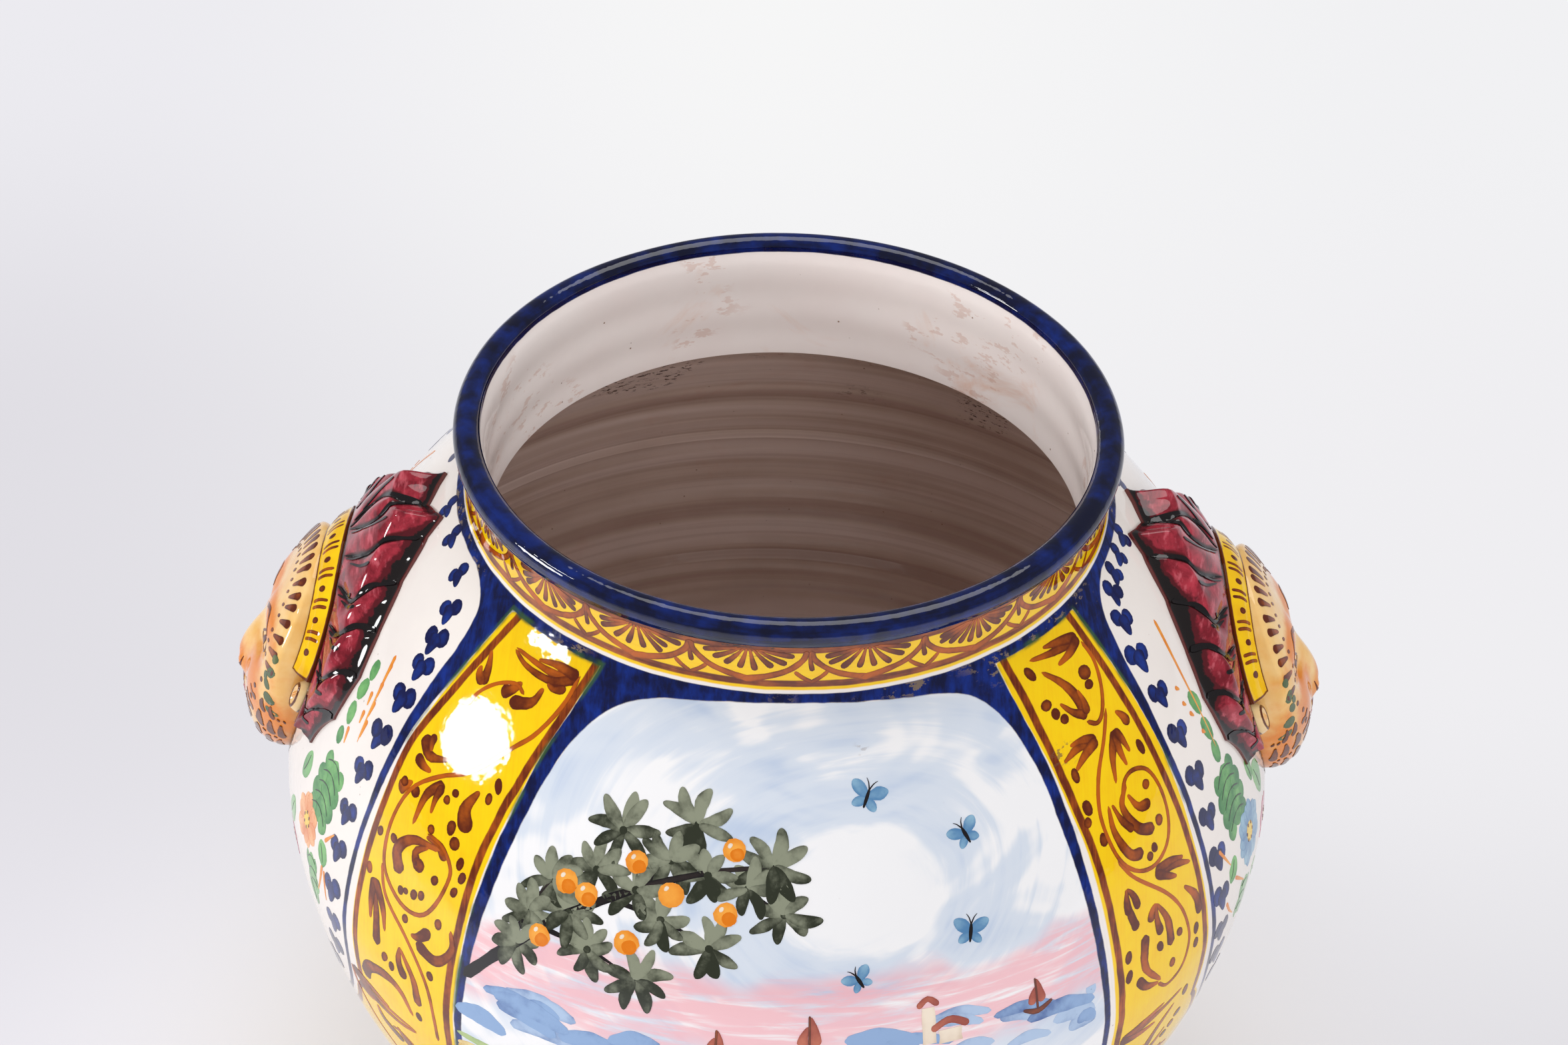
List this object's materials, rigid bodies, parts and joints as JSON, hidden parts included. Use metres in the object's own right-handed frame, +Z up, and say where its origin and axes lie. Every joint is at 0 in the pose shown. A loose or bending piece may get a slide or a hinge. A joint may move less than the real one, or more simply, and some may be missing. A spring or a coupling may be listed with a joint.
{
  "type": "majolica vase",
  "caption": "Round-bellied glazed earthenware vase with a short upright collar, a rolled rim, a spreading foot and an applied mask on either side.",
  "frame": {"origin": "centre of the foot's underside, on the surface that the vase stands on", "axes": "+Z up along the pot's axis, -Y towards the front with the picture panel, +X towards one mask"},
  "size_m": [0.3966, 0.3572, 0.3599],
  "materials": {
    "white_glaze": "glossy white tin glaze with painted decoration",
    "cobalt_glaze": "glossy cobalt blue glaze",
    "yellow_glaze": "glossy antimony yellow glaze with brown strokes",
    "crimson_glaze": "glossy crimson glaze with dark folds",
    "ochre_glaze": "glossy ochre glaze",
    "cream_glaze": "glossy cream glaze"
  },
  "bodies": {
    "root": {"foot_ring": "cobalt_glaze", "lower_belly": "white_glaze", "shoulder": "white_glaze", "neck_collar": "yellow_glaze", "rim_roll": "cobalt_glaze", "right_mask_face": "ochre_glaze", "right_mask_headband": "yellow_glaze", "right_mask_kerchief": "crimson_glaze", "right_mask_front_ear": "cream_glaze", "right_mask_back_ear": "cream_glaze", "left_mask_face": "ochre_glaze", "left_mask_headband": "yellow_glaze", "left_mask_kerchief": "crimson_glaze", "left_mask_front_ear": "cream_glaze", "left_mask_back_ear": "cream_glaze"}
  },
  "joints": []
}
